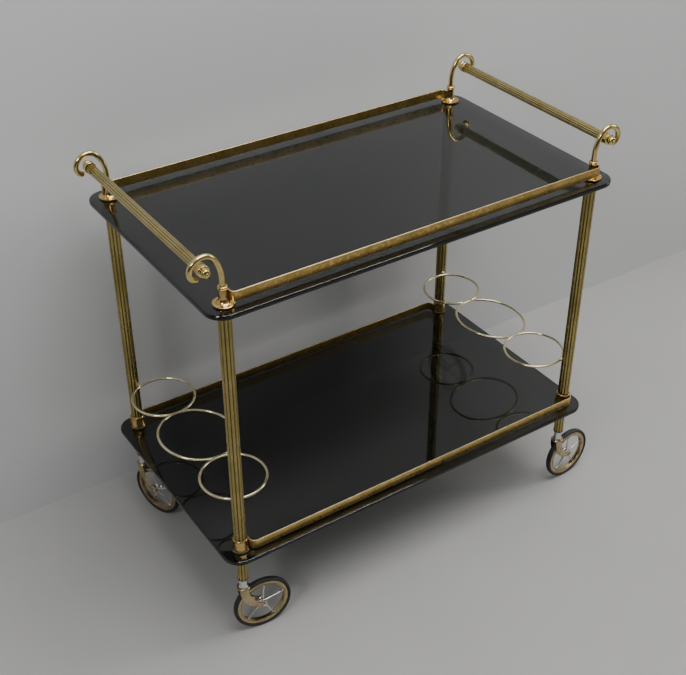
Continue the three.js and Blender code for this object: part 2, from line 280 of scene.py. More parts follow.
class Finish(Wiring):
    """One material: its Principled shader, its object coordinates and the shared effects."""

    def __init__(self, name):
        self.material = bpy.data.materials.new(name)
        self.material.use_nodes = True
        super().__init__(self.material.node_tree)
        self.shader = self.tree.nodes["Principled BSDF"]
        self.place = self.node("ShaderNodeTexCoord").outputs["Object"]

    def effect(self, group, **feeds):
        made = self.node("ShaderNodeGroup", {"node_tree": group}, **feeds)
        self.feed(made, "Place", self.place)
        return made.outputs

    def upward(self):
        """How much the surface looks up, from -1 to 1."""
        split = self.node("ShaderNodeSeparateXYZ")
        self.feed(split, 0, self.node("ShaderNodeNewGeometry").outputs["Normal"])
        return split.outputs["Z"]

    def set(self, key, value):
        self.feed(self.shader, key, value)

    def bump(self, height, strength, distance):
        relief = self.node("ShaderNodeBump", Strength=strength, Distance=distance)
        self.feed(relief, "Height", height)
        self.set("Normal", relief.outputs[0])


# ---------------------------------------------------------------- finishes
METAL_DUST = (0.42, 0.40, 0.36, 1)


def opaque(colour):
    return (*colour, 1)


def brass(name, bright, deep, dark, tarnish, shine, grain=(1.0, 1.0, 0.03), reeded=False,
          cloud=18.0, dust=0.14, relief=0.22):
    """Old brass: bright where rubbed, deeper in clouds, with painted shade dark in grooves and
    corners.
    """
    f = Finish(name)
    clouds = f.effect(TARNISH, Cloud_Scale=cloud, Amount=tarnish)
    edge_rub_and_shade = f.effect(EDGE_RUB_AND_SHADE)
    marks = f.effect(HANDLING, Grain_Stretch=grain)
    lying = f.effect(DUST, Amount=dust)["Dust"]
    colour = f.blend(clouds["Tarnish"], opaque(bright), opaque(deep))
    colour = f.blend(clouds["Specks"], colour, opaque(dark))
    # Painted shade: inner corners, and on reeded tubes the grooves, are mixed toward the dark
    # colour.
    crevice_shade = edge_rub_and_shade["Crevice"]
    if reeded:
        groove = f.node("ShaderNodeAttribute", {"attribute_name": "groove"}).outputs["Fac"]
        crevice_shade = f.maths("MAXIMUM", crevice_shade, f.spread(groove, 0.2, 0.8))
    colour = f.blend(f.maths("MULTIPLY", crevice_shade, 0.85), colour, opaque(dark))
    polished = opaque([min(1, c * 1.25) for c in bright])
    colour = f.blend(f.maths("MULTIPLY", edge_rub_and_shade["Rubbed"], 0.2), colour, polished)
    f.set("Base Color", f.blend(lying, colour, METAL_DUST))
    rough = f.spread(marks["Smears"], 0, 1, shine, shine + 0.10)
    rough = f.maths("ADD", rough, f.maths("MULTIPLY", clouds["Tarnish"], 0.10))
    f.set("Roughness", f.maths("ADD", rough, f.maths("MULTIPLY", lying, 0.5), clamp=True))
    f.set("Metallic", 1.0)
    scored = f.maths("MULTIPLY", marks["Scratches"], 0.35)
    f.bump(f.maths("SUBTRACT", scored, clouds["Specks"]), relief, 0.00012)
    return f.material


def worn_strip_with_painted_light(name):
    """Rolled strip whose lacquer has worn into mottled orange and brown flecks, with painted
    shade in its inner corners and a painted highlight on faces that look up.
    """
    f = Finish(name)
    clouds = f.effect(TARNISH, Cloud_Scale=30.0, Speck_Scale=330.0, Amount=0.8)
    crevice_shade = f.effect(EDGE_RUB_AND_SHADE)["Crevice"]
    marks = f.effect(HANDLING, Grain_Stretch=(0.15, 0.15, 1.0), Grain_Scale=420.0)
    lying = f.effect(DUST, Amount=0.10)["Dust"]
    mottle = f.spread(f.noise(f.place, 150.0, 5.0, 0.75), 0.38, 0.62)
    colour = f.blend(mottle, (0.86, 0.58, 0.22, 1), (0.54, 0.35, 0.10, 1))
    colour = f.blend(clouds["Tarnish"], colour, (0.42, 0.30, 0.085, 1))
    colour = f.blend(clouds["Specks"], colour, (0.10, 0.055, 0.012, 1))
    # Painted shade: inner corners are mixed toward near black.
    colour = f.blend(crevice_shade, colour, (0.08, 0.05, 0.016, 1))
    # Painted highlight: faces that look up are mixed toward a pale sheen.
    colour = f.blend(f.spread(f.upward(), 0.6, 0.95), colour, (0.74, 0.60, 0.36, 1))
    f.set("Base Color", f.blend(lying, colour, METAL_DUST))
    f.set("Roughness", f.spread(mottle, 0, 1, 0.24, 0.42))
    f.set("Metallic", 1.0)
    height = f.maths("ADD", f.maths("MULTIPLY", mottle, 0.5),
                     f.maths("MULTIPLY", marks["Scratches"], 0.5))
    f.bump(height, 0.30, 0.00018)
    return f.material


def bright_chrome(name):
    f = Finish(name)
    clouds = f.effect(TARNISH, Cloud_Scale=60.0, Speck_Scale=700.0, Amount=0.5)
    edge_rub_and_shade = f.effect(EDGE_RUB_AND_SHADE)
    marks = f.effect(HANDLING, Smear_Scale=60.0)
    colour = f.blend(clouds["Tarnish"], (0.76, 0.75, 0.74, 1), (0.52, 0.48, 0.43, 1))
    colour = f.blend(clouds["Specks"], colour, (0.22, 0.15, 0.09, 1))
    # Painted shade: inner corners are darkened toward near black.
    crevice_shade = f.maths("MULTIPLY", edge_rub_and_shade["Crevice"], 0.7)
    f.set("Base Color", f.blend(crevice_shade, colour, (0.10, 0.09, 0.08, 1)))
    f.set("Roughness", f.spread(marks["Smears"], 0, 1, 0.07, 0.20))
    f.set("Metallic", 1.0)
    f.bump(f.maths("ADD", marks["Scratches"], clouds["Specks"]), 0.15, 0.0001)
    return f.material


def smoked_glass(name):
    f = Finish(name)
    marks = f.effect(HANDLING, Grain_Stretch=(1.0, 0.35, 1.0), Grain_Scale=40.0,
                     Smear_Scale=5.0)
    lying = f.effect(DUST, Scale=30.0, Amount=0.02)["Dust"]
    tint = f.blend(marks["Smears"], (0.048, 0.055, 0.052, 1), (0.058, 0.066, 0.062, 1))
    # Painted shade: the pencil edge, whose faces look neither up nor down, gets a near-black
    # tint for the dark look of the glass edge.
    flat = f.spread(f.maths("ABSOLUTE", f.upward()), 0.55, 0.95)
    tint = f.blend(flat, (0.010, 0.012, 0.011, 1), tint)
    f.set("Base Color", f.blend(lying, tint, (0.30, 0.29, 0.27, 1)))
    haze = f.spread(marks["Smears"], 0, 1, 0.012, 0.05)
    f.set("Roughness", f.maths("ADD", haze, f.maths("MULTIPLY", lying, 0.6)))
    f.set("Transmission Weight", 1.0)
    f.set("IOR", 1.48)
    f.set("Specular IOR Level", 0.4)
    f.bump(marks["Scratches"], 0.03, 0.0003)
    return f.material


def black_rubber(name, tone, rough):
    f = Finish(name)
    clouds = f.effect(TARNISH, Cloud_Scale=45.0, Speck_Scale=420.0, Amount=0.8)
    edge_rub_and_shade = f.effect(EDGE_RUB_AND_SHADE)
    lying = f.effect(DUST, Scale=120.0, Amount=0.18)["Dust"]
    worn = opaque([tone * 2.4, tone * 2.3, tone * 2.2])
    colour = f.blend(clouds["Tarnish"], opaque([tone, tone, tone * 1.05]), worn)
    colour = f.blend(f.maths("MULTIPLY", edge_rub_and_shade["Rubbed"], 0.4), colour,
                     (0.085, 0.082, 0.078, 1))
    f.set("Base Color", f.blend(lying, colour, (0.20, 0.19, 0.17, 1)))
    f.set("Roughness", f.spread(clouds["Tarnish"], 0, 1, rough, rough + 0.2))
    f.set("Specular IOR Level", 0.4)
    f.bump(clouds["Specks"], 0.35, 0.0002)
    return f.material


def plain_steel(name):
    f = Finish(name)
    clouds = f.effect(TARNISH, Amount=0.6)
    marks = f.effect(HANDLING)
    f.set("Base Color", f.blend(clouds["Tarnish"], (0.5, 0.5, 0.5, 1), (0.3, 0.27, 0.24, 1)))
    f.set("Roughness", f.spread(marks["Scratches"], 0, 1, 0.3, 0.55))
    f.set("Metallic", 1.0)
    f.bump(marks["Scratches"], 0.2, 0.0001)
    return f.material


def room_paint(name, colour, scale, contrast):
    """Floor or wall: soft cloudy tone with a fine tooth."""
    f = Finish(name)
    shade = f.noise(f.place, scale, 6.0, 0.62)
    light = opaque([c * (1 + contrast) for c in colour])
    deep = opaque([c * (1 - contrast) for c in colour])
    f.set("Base Color", f.blend(f.spread(shade, 0.3, 0.7), deep, light))
    f.set("Roughness", f.spread(shade, 0.3, 0.7, 0.62, 0.8))
    f.bump(f.noise(f.place, scale * 60, 3.0), 0.08, 0.001)
    return f


LEG_BRASS = brass("aged_reeded_brass", (0.44, 0.35, 0.135), (0.23, 0.18, 0.05),
                  (0.020, 0.015, 0.005), 0.8, 0.22, reeded=True)
HANDLE_BRASS = brass("handled_reeded_brass", (0.58, 0.48, 0.215), (0.33, 0.265, 0.085),
                     (0.025, 0.018, 0.006), 0.75, 0.18, grain=(1.0, 0.03, 1.0), reeded=True)
POLISHED_BRASS = brass("polished_brass", (0.79, 0.63, 0.28), (0.46, 0.34, 0.10),
                       (0.08, 0.05, 0.015), 0.7, 0.09, grain=(1.0, 1.0, 0.2), cloud=70.0)
COLLAR_BRASS = brass("warm_collar_brass", (0.74, 0.52, 0.21), (0.46, 0.28, 0.085),
                     (0.10, 0.055, 0.018), 0.6, 0.12, grain=(1.0, 1.0, 0.2), cloud=45.0)
RING_BRASS = brass("pale_ring_brass", (0.86, 0.77, 0.50), (0.58, 0.47, 0.22),
                   (0.14, 0.095, 0.04), 0.4, 0.13, grain=(1.0, 1.0, 1.0), cloud=60.0)
CASTER_BRASS = brass("worn_caster_brass", (0.55, 0.46, 0.28), (0.34, 0.23, 0.105),
                     (0.07, 0.045, 0.018), 0.8, 0.16, grain=(1.0, 1.0, 1.0), cloud=60.0)
STRIP_BRASS = worn_strip_with_painted_light("mottled_strip_brass")
CHROME = bright_chrome("caster_chrome")
GLASS = smoked_glass("smoked_glass")
TYRE_RUBBER = black_rubber("tyre_rubber", 0.011, 0.55)
WASHER_NYLON = black_rubber("washer_nylon", 0.010, 0.40)
ROD_STEEL = plain_steel("tie_rod_steel")


# ---------------------------------------------------------------- mesh helpers
def linked(name, mesh):
    piece = bpy.data.objects.new(name, mesh)
    bpy.context.collection.objects.link(piece)
    return piece


def settled(piece):
    """The piece's mesh with its modifiers worked in; the modifiers are then removed."""
    bpy.context.view_layer.update()
    graph = bpy.context.evaluated_depsgraph_get()
    mesh = bpy.data.meshes.new_from_object(piece.evaluated_get(graph), depsgraph=graph,
                                           preserve_all_data_layers=True)
    piece.modifiers.clear()
    return mesh


def outward(mesh, join=1e-6):
    """Merges doubles and turns every face outwards."""
    shape = bmesh.new()
    shape.from_mesh(mesh)
    bmesh.ops.remove_doubles(shape, verts=shape.verts, dist=join)
    bmesh.ops.dissolve_degenerate(shape, edges=shape.edges, dist=join)
    bmesh.ops.recalc_face_normals(shape, faces=shape.faces)
    shape.to_mesh(mesh)
    shape.free()
    return mesh


def mesh_of(name, points, faces, place=Matrix.Identity(4)):
    mesh = bpy.data.meshes.new(name)
    mesh.from_pydata([place @ Vector(p) for p in points], [], faces)
    return outward(mesh)


def finish(piece, material, body, slot, *nodes, crease=35):
    """Gives a piece its finish, its smooth shading and its body, and hides the imported parts it
    stands for.
    """
    mesh = piece.data
    mesh.materials.clear()
    mesh.materials.append(material)
    mesh.polygons.foreach_set("use_smooth", [True] * len(mesh.polygons))
    mesh.set_sharp_from_angle(angle=math.radians(crease))
    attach(piece, body)
    if nodes:
        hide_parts(*nodes)
    return piece


def eased(points, steps=5):
    """A flowing line through the given points, as a list of points."""
    known = [Vector((*p, 0)[:3]) for p in points]
    line = []
    for i in range(len(known) - 1):
        before, a = known[max(0, i - 1)], known[i]
        b, after = known[i + 1], known[min(len(known) - 1, i + 2)]
        for k in range(steps):
            t = k / steps
            line.append(0.5 * (2 * a + (b - before) * t
                               + (2 * before - 5 * a + 4 * b - after) * t * t
                               + (3 * a - before - 3 * b + after) * t ** 3))
    line.append(known[-1])
    return [(p.x, p.y, p.z) if len(points[0]) == 3 else (p.x, p.y) for p in line]


def arc(cx, cz, radius, start, stop, steps):
    """(radius, height) pairs along part of a circle, angles in degrees."""
    turns = [math.radians(start + (stop - start) * i / steps) for i in range(steps + 1)]
    return [(cx + radius * math.cos(a), cz + radius * math.sin(a)) for a in turns]


def turned(name, profile, place, sides=48, hollow=False):
    """Revolves (radius, height) pairs about Z; a hollow profile closes on itself."""
    rows = [*profile, profile[0]] if hollow else profile
    points = [(r * math.cos(math.tau * k / sides), r * math.sin(math.tau * k / sides), z)
              for r, z in rows for k in range(sides)]
    faces = [(i * sides + k, i * sides + (k + 1) % sides,
              (i + 1) * sides + (k + 1) % sides, (i + 1) * sides + k)
             for i in range(len(rows) - 1) for k in range(sides)]
    return linked(name, mesh_of(name, points, faces, place))


def joined(name, pieces):
    """One object from several closed shapes."""
    shape = bmesh.new()
    for piece in pieces:
        shape.from_mesh(piece.data)
        bpy.data.objects.remove(piece)
    mesh = bpy.data.meshes.new(name)
    shape.to_mesh(mesh)
    shape.free()
    return linked(name, mesh)


def worked(piece, operation, others):
    """Joins other shapes to a piece ("UNION") or cuts them out of it ("DIFFERENCE")."""
    for other in others:
        modifier = piece.modifiers.new("worked", "BOOLEAN")
        modifier.operation, modifier.solver, modifier.object = operation, "EXACT", other
    mesh = settled(piece)
    for other in others:
        bpy.data.objects.remove(other)
    piece.data = outward(mesh, BOOLEAN_JOIN)
    return piece


def at(point, scale=MM):
    return Matrix.Translation(point) @ Matrix.Scale(scale, 4)


# ---------------------------------------------------------------- Geometry Nodes trees
def end_tree(w, geometry, material, end):
    """Every tree ends the same way: instances made real and the material set."""
    real = w.node("GeometryNodeRealizeInstances", Geometry=geometry).outputs[0]
    done = w.node("GeometryNodeSetMaterial", Geometry=real, Material=material)
    w.out(end, Geometry=done.outputs[0])


SHAPE_OUT = [("Geometry", "NodeSocketGeometry")]
SHAPE_IN = ("Geometry", "NodeSocketGeometry", None)


def reeded_tube_tree():
    """A hollow tube along Z: rounded reeds outside, parted by sharp grooves."""
    w, take, end = new_group("GeometryNodeTree", "reeded_tube", [
        ("Length", FLOAT, 0.1), ("Radius", FLOAT, 0.01), ("Bore", FLOAT, 0.008),
        ("Reed Depth", FLOAT, 0.0015), ("Reeds", WHOLE, 10), ("Material", MATERIAL, None)],
        SHAPE_OUT)
    circle = w.node("GeometryNodeCurvePrimitiveCircle", Radius=take["Radius"],
                    Resolution=w.maths("MULTIPLY", take["Reeds"], 14)).outputs[0]
    spot = w.node("GeometryNodeInputPosition").outputs[0]
    split = w.node("ShaderNodeSeparateXYZ")
    w.feed(split, 0, spot)
    angle = w.maths("ARCTAN2", split.outputs["Y"], split.outputs["X"])
    half_turns = w.maths("MULTIPLY", w.maths("MULTIPLY", angle, take["Reeds"]), 0.5)
    rib = w.maths("ABSOLUTE", w.maths("COSINE", half_turns))
    hollow = w.maths("MULTIPLY", take["Reed Depth"],
                     w.maths("SUBTRACT", 1.0, w.maths("POWER", rib, 0.8)))
    shrink = w.maths("SUBTRACT", 1.0, w.maths("DIVIDE", hollow, take["Radius"]))
    moved = w.node("ShaderNodeVectorMath", {"operation": "SCALE"}, Scale=shrink)
    w.feed(moved, 0, spot)
    ribbed = w.node("GeometryNodeSetPosition", Geometry=circle, Position=moved.outputs[0])
    bore = w.node("GeometryNodeCurvePrimitiveCircle", Radius=take["Bore"], Resolution=40)
    both = w.node("GeometryNodeJoinGeometry")
    w.feed(both, 0, ribbed.outputs[0])
    w.feed(both, 0, bore.outputs[0])
    section = w.node("GeometryNodeFillCurve", Curve=both.outputs[0]).outputs[0]
    lift = w.node("ShaderNodeCombineXYZ", Z=take["Length"]).outputs[0]
    pulled = w.node("GeometryNodeExtrudeMesh", Mesh=section, Offset=lift, Offset_Scale=1.0,
                    Individual=False).outputs[0]
    under = w.node("GeometryNodeFlipFaces", Mesh=section).outputs[0]
    shell = w.node("GeometryNodeJoinGeometry")
    w.feed(shell, 0, pulled)
    w.feed(shell, 0, under)
    whole = w.node("GeometryNodeMergeByDistance", Geometry=shell.outputs[0],
                   Distance=1e-6).outputs[0]
    # Each point's depth below the reed tops is stored as "groove"; the reeded brass uses it as a
    # mask for painted shade.
    out_from_axis = w.node("ShaderNodeVectorMath", {"operation": "LENGTH"})
    flat = w.node("ShaderNodeCombineXYZ", X=split.outputs["X"], Y=split.outputs["Y"])
    w.feed(out_from_axis, 0, flat.outputs[0])
    sunk = w.maths("SUBTRACT", take["Radius"], out_from_axis.outputs["Value"])
    marked = w.node("GeometryNodeStoreNamedAttribute",
                    {"data_type": "FLOAT", "domain": "POINT"}, Geometry=whole,
                    Name="groove", Value=w.maths("DIVIDE", sunk, take["Reed Depth"]))
    end_tree(w, marked.outputs[0], take["Material"], end)
    return w.tree


def bent_bar_tree():
    """A round bar along the path it is given, smoothed and rounded at its tip if asked."""
    w, take, end = new_group("GeometryNodeTree", "bent_round_bar", [
        SHAPE_IN, ("Radius", FLOAT, 0.004), ("Sides", WHOLE, 20), ("Steps", WHOLE, 120),
        ("Smooth Path", SWITCH, False), ("Tip", FLOAT, 0.0), ("Material", MATERIAL, None)],
        SHAPE_OUT)
    path = w.node("GeometryNodeMeshToCurve", Mesh=take["Geometry"]).outputs[0]
    soft = w.node("GeometryNodeCurveSplineType", {"spline_type": "CATMULL_ROM"}, Curve=path)
    even = w.node("GeometryNodeResampleCurve", Curve=soft.outputs[0], Count=take["Steps"])
    chosen = w.node("GeometryNodeSwitch", {"input_type": "GEOMETRY"},
                    Switch=take["Smooth Path"], False_=path, True_=even.outputs[0])
    along = w.node("GeometryNodeSplineParameter").outputs["Factor"]
    to_tip = w.maths("DIVIDE", w.maths("SUBTRACT", 1.0, along),
                     w.maths("MAXIMUM", take["Tip"], 1e-4), clamp=True)
    inward = w.maths("SUBTRACT", 1.0, to_tip)
    dome = w.maths("SQRT", w.maths("SUBTRACT", 1.0, w.maths("MULTIPLY", inward, inward)))
    size = w.maths("MULTIPLY", take["Radius"], w.maths("MAXIMUM", dome, 0.04))
    section = w.node("GeometryNodeCurvePrimitiveCircle", Resolution=take["Sides"],
                     Radius=1.0).outputs[0]
    bar = w.node("GeometryNodeCurveToMesh", Curve=chosen.outputs[0], Profile_Curve=section,
                 Scale=size, Fill_Caps=True).outputs[0]
    end_tree(w, bar, take["Material"], end)
    return w.tree


def spokes_tree():
    """Arms set evenly round Z, flared where they meet the hub and the rim."""
    w, take, end = new_group("GeometryNodeTree", "flared_spokes", [
        ("Count", WHOLE, 5), ("Inner", FLOAT, 5.5), ("Outer", FLOAT, 36.0),
        ("Waist", FLOAT, 1.3), ("Hub Flare", FLOAT, 1.6), ("Rim Flare", FLOAT, 0.6),
        ("First Angle", FLOAT, 0.4), ("Material", MATERIAL, None)], SHAPE_OUT)
    start = w.node("ShaderNodeCombineXYZ", X=take["Inner"]).outputs[0]
    stop = w.node("ShaderNodeCombineXYZ", X=take["Outer"]).outputs[0]
    line = w.node("GeometryNodeCurvePrimitiveLine", Start=start, End=stop).outputs[0]
    steps = w.node("GeometryNodeResampleCurve", Curve=line, Count=13).outputs[0]
    along = w.node("GeometryNodeSplineParameter").outputs["Factor"]
    at_hub = w.maths("POWER", w.maths("SUBTRACT", 1.0, along), 4.0)
    at_rim = w.maths("POWER", along, 9.0)
    flare = w.maths("ADD", w.maths("MULTIPLY", at_hub, take["Hub Flare"]),
                    w.maths("MULTIPLY", at_rim, take["Rim Flare"]))
    size = w.maths("ADD", take["Waist"], flare)
    section = w.node("GeometryNodeCurvePrimitiveCircle", Resolution=14, Radius=1.0)
    arm = w.node("GeometryNodeCurveToMesh", Curve=steps, Profile_Curve=section.outputs[0],
                 Scale=size, Fill_Caps=True).outputs[0]
    centres = w.node("GeometryNodePoints", Count=take["Count"]).outputs[0]
    index = w.node("GeometryNodeInputIndex").outputs[0]
    share = w.maths("DIVIDE", w.maths("MULTIPLY", index, math.tau), take["Count"])
    angle = w.maths("ADD", share, take["First Angle"])
    spin = w.node("FunctionNodeEulerToRotation",
                  Euler=w.node("ShaderNodeCombineXYZ", Z=angle).outputs[0]).outputs[0]
    arms = w.node("GeometryNodeInstanceOnPoints", Points=centres, Instance=arm,
                  Rotation=spin).outputs[0]
    end_tree(w, arms, take["Material"], end)
    return w.tree


def strip_tree():
    """A flat strip on edge along the path it is given, its corners bent round."""
    w, take, end = new_group("GeometryNodeTree", "bent_strip", [
        SHAPE_IN, ("Thickness", FLOAT, 0.0024), ("Height", FLOAT, 0.0164),
        ("Edge Round", FLOAT, 0.0008), ("Bend", FLOAT, 0.008), ("Material", MATERIAL, None)],
        SHAPE_OUT)
    path = w.node("GeometryNodeMeshToCurve", Mesh=take["Geometry"]).outputs[0]
    bent = w.node("GeometryNodeFilletCurve", {"mode": "POLY"}, Curve=path, Count=10,
                  Radius=take["Bend"]).outputs[0]
    upright = w.node("GeometryNodeSetCurveNormal", {"mode": "Z_UP"}, Curve=bent).outputs[0]
    block = w.node("GeometryNodeCurvePrimitiveQuadrilateral", Width=take["Thickness"],
                   Height=take["Height"]).outputs[0]
    section = w.node("GeometryNodeFilletCurve", {"mode": "POLY"}, Curve=block, Count=4,
                     Radius=take["Edge Round"]).outputs[0]
    strip = w.node("GeometryNodeCurveToMesh", Curve=upright, Profile_Curve=section,
                   Fill_Caps=True).outputs[0]
    end_tree(w, strip, take["Material"], end)
    return w.tree


REEDED_TUBE, BENT_BAR, STRIP, SPOKES = (reeded_tube_tree(), bent_bar_tree(), strip_tree(),
                                        spokes_tree())


def grown(name, tree, sizes, path=(), ring=False, place=None):
    """Runs a Geometry Nodes tree on a path and keeps the result as a plain mesh."""
    seed = bpy.data.meshes.new(name + "_path")
    links = [(i, i + 1) for i in range(len(path) - 1)] + ([(len(path) - 1, 0)] * ring)
    seed.from_pydata([Vector(p) for p in path], links, [])
    maker = linked(name + "_maker", seed)
    modifier = maker.modifiers.new("shape", "NODES")
    modifier.node_group = tree
    for socket in tree.interface.items_tree:
        if socket.in_out == "INPUT" and socket.name in sizes:
            modifier[socket.identifier] = sizes[socket.name]
    mesh = settled(maker)
    bpy.data.objects.remove(maker)
    if place:
        mesh.transform(place)
    return linked(name, outward(mesh, 1e-8))


# ---------------------------------------------------------------- glass shelves
CORNER_RADIUS, HOLE_RADIUS = 30 * MM, 4 * MM
# (inset from the outline, height from the top): a ground and polished pencil edge
EDGE = [(2.4, 0.0), (1.5, 0.16), (0.8, 0.55), (0.3, 1.2), (0.05, 2.1), (0.0, 3.1)]


def glass_shelf(name, node):
    low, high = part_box(node)
    middle_x, middle_y = (low.x + high.x) / 2, (low.y + high.y) / 2
    half_x, half_y = (high.x - low.x) / 2, (high.y - low.y) / 2
    under = [(inset, (high.z - low.z) / MM - drop) for inset, drop in reversed(EDGE)]
    shape = bmesh.new()

    def loop(points):
        corners = [shape.verts.new(p) for p in points]
        return [shape.edges.new((corners[i - 1], corners[i])) for i in range(len(corners))]

    def outline(inset, drop):
        r = CORNER_RADIUS - inset * MM
        points = []
        for sx, sy, start in ((1, 1, 0), (-1, 1, 90), (-1, -1, 180), (1, -1, 270)):
            for i in range(25):
                a = math.radians(start + 90 * i / 24)
                points.append((middle_x + sx * (half_x - CORNER_RADIUS) + r * math.cos(a),
                               middle_y + sy * (half_y - CORNER_RADIUS) + r * math.sin(a),
                               high.z - drop * MM))
        return loop(points)

    def hole(corner, z):
        turns = [math.tau * i / 32 for i in range(32)]
        return loop([(LEG[corner].x + HOLE_RADIUS * math.cos(a),
                      LEG[corner].y + HOLE_RADIUS * math.sin(a), z) for a in turns])

    rim = [outline(*step) for step in EDGE + under]
    bores = [(hole(c, high.z), hole(c, low.z)) for c in CORNERS]
    for upper, lower in [*zip(rim, rim[1:]), *bores]:
        bmesh.ops.bridge_loops(shape, edges=upper + lower)
    for side, ring in ((0, rim[0]), (1, rim[-1])):
        edges = ring + [e for bore in bores for e in bore[side]]
        bmesh.ops.triangle_fill(shape, use_beauty=True, edges=edges)
    mesh = bpy.data.meshes.new(name)
    shape.to_mesh(mesh)
    shape.free()
    piece = linked(name, outward(mesh))
    finish(piece, GLASS, "frame", "smoked_glass", node, crease=14)


glass_shelf("upper_shelf_glass", "upper_glass")
glass_shelf("lower_shelf_glass", "lower_glass")


# ---------------------------------------------------------------- legs and tie rods
def reeded_leg(name, node, radius, bore):
    low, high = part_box(node)
    tube = grown(name, REEDED_TUBE, {
        "Length": high.z - low.z, "Radius": radius, "Bore": bore,
        "Reed Depth": LEG_REED_DEPTH, "Reeds": LEG_REEDS, "Material": LEG_BRASS},
        place=Matrix.Translation(((low.x + high.x) / 2, (low.y + high.y) / 2, low.z)))
    finish(tube, LEG_BRASS, "frame", "satin_brass", node, crease=50)


for c in CORNERS:
    reeded_leg(f"reeded_leg_{c}", f"leg_tube_{c}", LEG_RADIUS, LEG_BORE)
    reeded_leg(f"reeded_foot_{c}", f"leg_stub_{c}", FOOT_RADIUS, FOOT_BORE)
    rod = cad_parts[f"tie_rod_{c}"]
    rod.data.materials.clear()
    rod.data.materials.append(ROD_STEEL)


# ---------------------------------------------------------------- collars and washers
# (radius, height above the flange plane), mm
UPPER_FLARE = [(15.8, 0.0), (16.2, 0.3), (16.2, 0.8), (15.6, 1.15), *eased(
    [(14.6, 1.3), (11.8, 1.75), (9.6, 2.9), (8.0, 5.0), (7.0, 7.6), (6.55, 10.5)]),
    (6.45, 13.0), (6.45, 22.9)]
UPPER_COLLAR = [(3.4, 0.0), *UPPER_FLARE, *arc(6.4, 23.9, 0.95, -80, 80, 6), (6.6, 25.0),
                (7.2, 25.5), (7.4, 26.2), (7.2, 26.9), (6.7, 27.6), (5.6, 28.0), (4.7, 28.0),
                (4.7, 17.6), (3.4, 17.6)]
LOWER_FLARE = [(13.8, 0.0), (14.2, 0.35), (14.2, 0.9), (13.8, 1.5), *eased(
    [(13.5, 2.2), (12.9, 5.0), (12.2, 8.5), (11.7, 12.5), (11.4, 16.0)]), (11.4, 19.2)]
LOWER_COLLAR = [(10.5, 0.0), *LOWER_FLARE, (11.7, 19.6), *arc(11.3, 21.2, 0.95, -60, 60, 6),
                (11.5, 22.4), (11.3, 23.2), (10.5, 23.2)]
WASHER_GAP = 0.05


def washer(name, place, inner, outer):
    thick = GLASS_DROP / MM - WASHER_GAP
    profile = [(inner, -thick), (outer - 0.5, -thick), (outer, -thick + 0.4),
               (outer, -0.5), (outer - 0.4, -WASHER_GAP), (inner, -WASHER_GAP)]
    piece = turned(name, profile, place, 64, hollow=True)
    finish(piece, WASHER_NYLON, "frame", "black_rubber")


for c in CORNERS:
    top_seat, low_seat = at((LEG[c].x, LEG[c].y, UPPER)), at((LEG[c].x, LEG[c].y, LOWER))
    collar = turned(f"flared_collar_{c}", UPPER_COLLAR, top_seat, 72, hollow=True)
    finish(collar, COLLAR_BRASS, "frame", "polished_brass", f"upper_collar_{c}")
    collar = turned(f"sleeve_collar_{c}", LOWER_COLLAR, low_seat, 72, hollow=True)
    finish(collar, COLLAR_BRASS, "frame", "polished_brass", f"lower_collar_{c}")
    washer(f"upper_washer_{c}", top_seat, 4.4, 15.7)
    washer(f"lower_washer_{c}", low_seat, 10.6, 13.9)


# ---------------------------------------------------------------- scroll brackets
# (outward from the leg, above the flange plane), mm
SCROLL_LINE = [(0, 18), (0, 32), (0.2, 42), (1.6, 52), (5, 62.5), (10.5, 72), (18, 78.6),
               (27, 80.4), (36.2, 78), (43.6, 72), (47.2, 64), (46.8, 56.6), (43, 51.2),
               (38, 48.9), (35.5, 47.8)]
for c, (sx, sy) in CORNERS.items():
    line = [(LEG[c].x + sx * out * MM, LEG[c].y, UPPER + up * MM) for out, up in SCROLL_LINE]
    scroll = grown(f"scroll_{c}", BENT_BAR, {
        "Radius": SCROLL_RADIUS, "Sides": 28, "Steps": 150, "Smooth Path": True,
        "Tip": 0.025, "Material": POLISHED_BRASS}, path=line)
    finish(scroll, POLISHED_BRASS, "frame", "polished_brass", f"scroll_bracket_{c}",
           crease=60)


